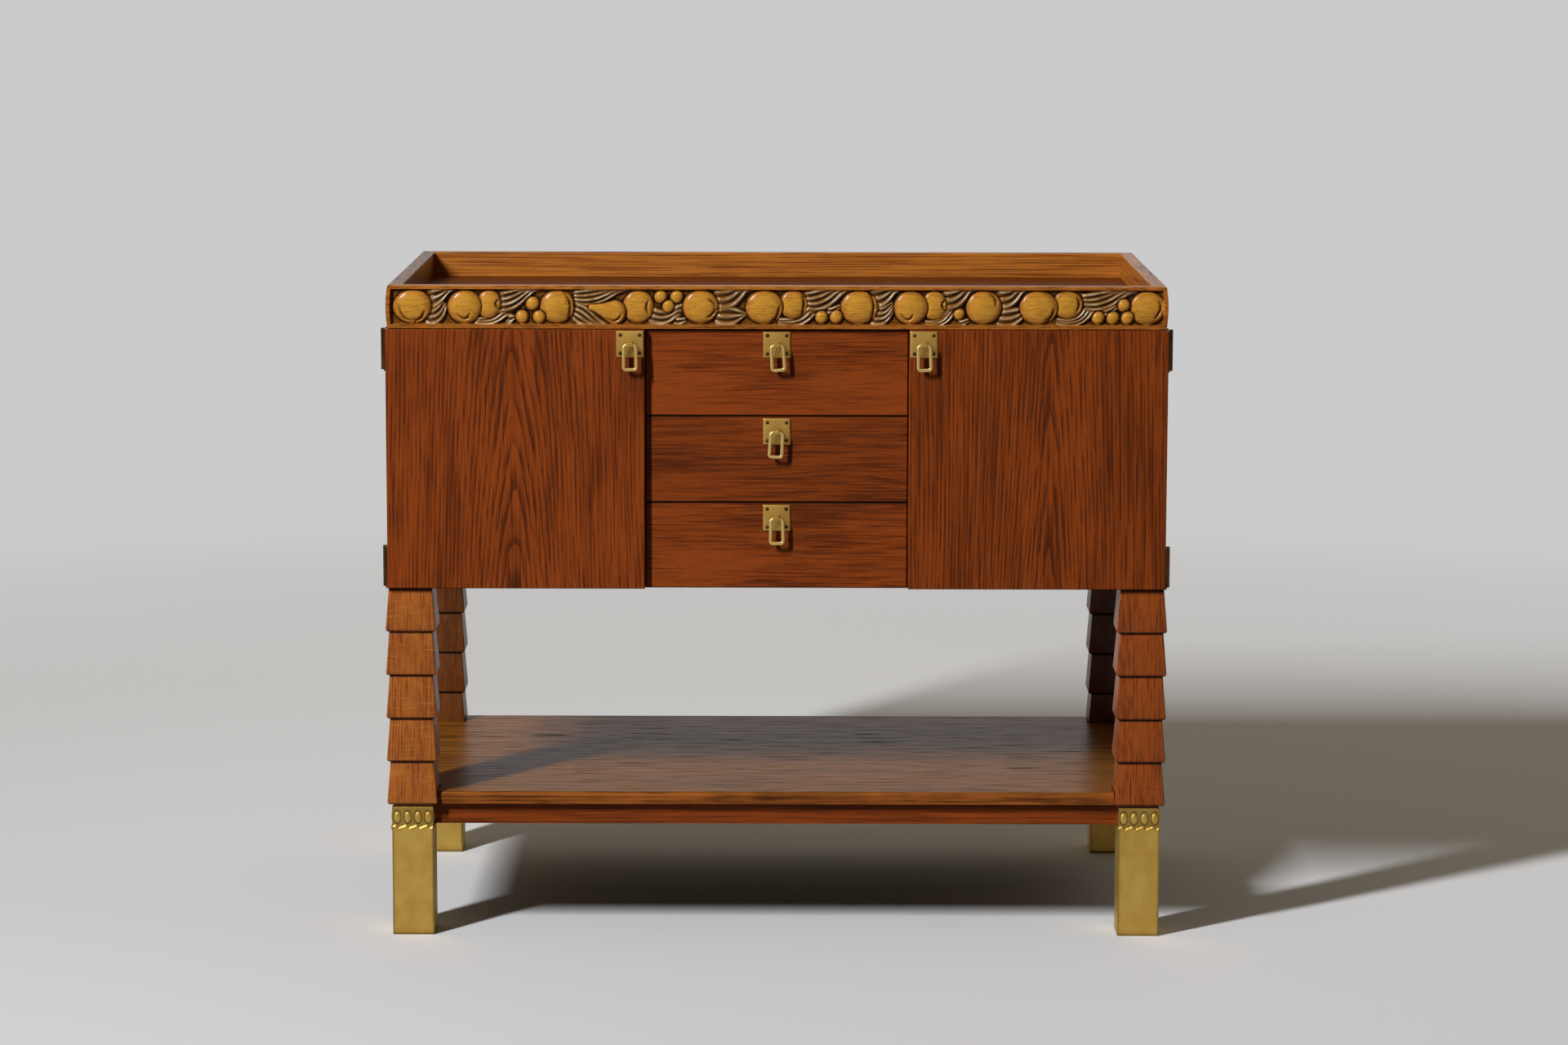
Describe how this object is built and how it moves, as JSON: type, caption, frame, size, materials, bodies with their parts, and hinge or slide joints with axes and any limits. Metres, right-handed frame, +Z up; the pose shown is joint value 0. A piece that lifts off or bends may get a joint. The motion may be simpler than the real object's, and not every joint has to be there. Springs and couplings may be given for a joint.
{
  "type": "side cabinet",
  "caption": "Oak side cabinet with a railed tray top, carved fruit frieze, hinged doors, sliding drawers with hanging loop pulls, stepped legs in brass shoes and a lower shelf.",
  "frame": {"origin": "on the floor, under the middle of the whole cabinet", "axes": "+X to the right of someone facing the cabinet, +Y to its back, +Z up; the doors face -Y"},
  "size_m": [0.9514, 0.5493, 0.795],
  "materials": {
    "oak_red": "red-brown stained oak, satin polish",
    "oak_honey": "honey-coloured oak, satin polish",
    "oak_leg": "quarter-sawn oak with rays, satin polish",
    "oak_shelf": "brown oak, satin polish",
    "oak_inner": "plain oak, unpolished",
    "brass_pull": "aged brass, soft sheen",
    "brass_shoe": "aged cast brass, soft sheen",
    "bronze_hinge": "dark bronzed"
  },
  "bodies": {
    "cabinet": {"apron_back": "oak_shelf", "apron_front": "oak_shelf", "apron_left": "oak_shelf", "apron_right": "oak_shelf", "back_panel": "oak_inner", "carved_front_rail": "oak_honey", "case_bottom": "oak_inner", "divider_left": "oak_inner", "divider_right": "oak_inner", "door_catches": "bronze_hinge", "drawer_runners": "oak_inner", "gallery_rail_back": "oak_honey", "gallery_rail_left": "oak_honey", "gallery_rail_right": "oak_honey", "hinge_case_leaves_left": "bronze_hinge", "hinge_case_leaves_right": "bronze_hinge", "hinge_pins": "bronze_hinge", "leg_back_left": "oak_leg", "leg_back_right": "oak_leg", "leg_front_left": "oak_leg", "leg_front_right": "oak_leg", "lower_shelf": "oak_shelf", "shoe_back_left": "brass_shoe", "shoe_back_right": "brass_shoe", "shoe_front_left": "brass_shoe", "shoe_front_right": "brass_shoe", "side_panel_left": "oak_red", "side_panel_right": "oak_red", "tray_floor": "oak_red"},
    "door_left": {"door_panel_left": "oak_red", "hinge_door_leaves_left": "bronze_hinge", "pull_plate_door_left": "brass_pull", "pull_studs_door_left": "brass_pull"},
    "door_right": {"door_panel_right": "oak_red", "hinge_door_leaves_right": "bronze_hinge", "pull_plate_door_right": "brass_pull", "pull_studs_door_right": "brass_pull"},
    "drawer_bottom": {"drawer_front_bottom": "oak_red", "drawer_sides_bottom": "oak_inner", "drawer_back_bottom": "oak_inner", "drawer_bottom_bottom": "oak_inner", "pull_plate_drawer_bottom": "brass_pull", "pull_studs_drawer_bottom": "brass_pull"},
    "drawer_middle": {"drawer_front_middle": "oak_red", "drawer_sides_middle": "oak_inner", "drawer_back_middle": "oak_inner", "drawer_bottom_middle": "oak_inner", "pull_plate_drawer_middle": "brass_pull", "pull_studs_drawer_middle": "brass_pull"},
    "drawer_top": {"drawer_front_top": "oak_red", "drawer_sides_top": "oak_inner", "drawer_back_top": "oak_inner", "drawer_bottom_top": "oak_inner", "pull_plate_drawer_top": "brass_pull", "pull_studs_drawer_top": "brass_pull"},
    "loop_door_left": {"pull_loop_door_left": "brass_pull"},
    "loop_door_right": {"pull_loop_door_right": "brass_pull"},
    "loop_drawer_bottom": {"pull_loop_drawer_bottom": "brass_pull"},
    "loop_drawer_middle": {"pull_loop_drawer_middle": "brass_pull"},
    "loop_drawer_top": {"pull_loop_drawer_top": "brass_pull"}
  },
  "joints": [
    {"name": "door_left_hinge", "type": "hinge", "parent": "cabinet", "child": "door_left", "pos_m": [-0.4725, -0.24145, 0.5857], "axis": [0, 0, -1], "range_deg": [0, 180]},
    {"name": "door_right_hinge", "type": "hinge", "parent": "cabinet", "child": "door_right", "pos_m": [0.4725, -0.24145, 0.5857], "axis": [0, 0, 1], "range_deg": [0, 180]},
    {"name": "drawer_bottom_slide", "type": "slide", "parent": "cabinet", "child": "drawer_bottom", "axis": [0, -1, 0], "range_m": [0, 0.36]},
    {"name": "drawer_middle_slide", "type": "slide", "parent": "cabinet", "child": "drawer_middle", "axis": [0, -1, 0], "range_m": [0, 0.36]},
    {"name": "drawer_top_slide", "type": "slide", "parent": "cabinet", "child": "drawer_top", "axis": [0, -1, 0], "range_m": [0, 0.36]},
    {"name": "loop_door_left_swing", "type": "hinge", "parent": "door_left", "child": "loop_door_left", "pos_m": [-0.176, -0.271, 0.7255], "axis": [-1, 0, 0], "range_deg": [-12, 170]},
    {"name": "loop_door_right_swing", "type": "hinge", "parent": "door_right", "child": "loop_door_right", "pos_m": [0.176, -0.271, 0.7255], "axis": [-1, 0, 0], "range_deg": [-12, 170]},
    {"name": "loop_drawer_bottom_swing", "type": "hinge", "parent": "drawer_bottom", "child": "loop_drawer_bottom", "pos_m": [0, -0.261, 0.51453], "axis": [-1, 0, 0], "range_deg": [-12, 170]},
    {"name": "loop_drawer_middle_swing", "type": "hinge", "parent": "drawer_middle", "child": "loop_drawer_middle", "pos_m": [0, -0.261, 0.61937], "axis": [-1, 0, 0], "range_deg": [-12, 170]},
    {"name": "loop_drawer_top_swing", "type": "hinge", "parent": "drawer_top", "child": "loop_drawer_top", "pos_m": [0, -0.261, 0.7242], "axis": [-1, 0, 0], "range_deg": [-12, 170]}
  ]
}
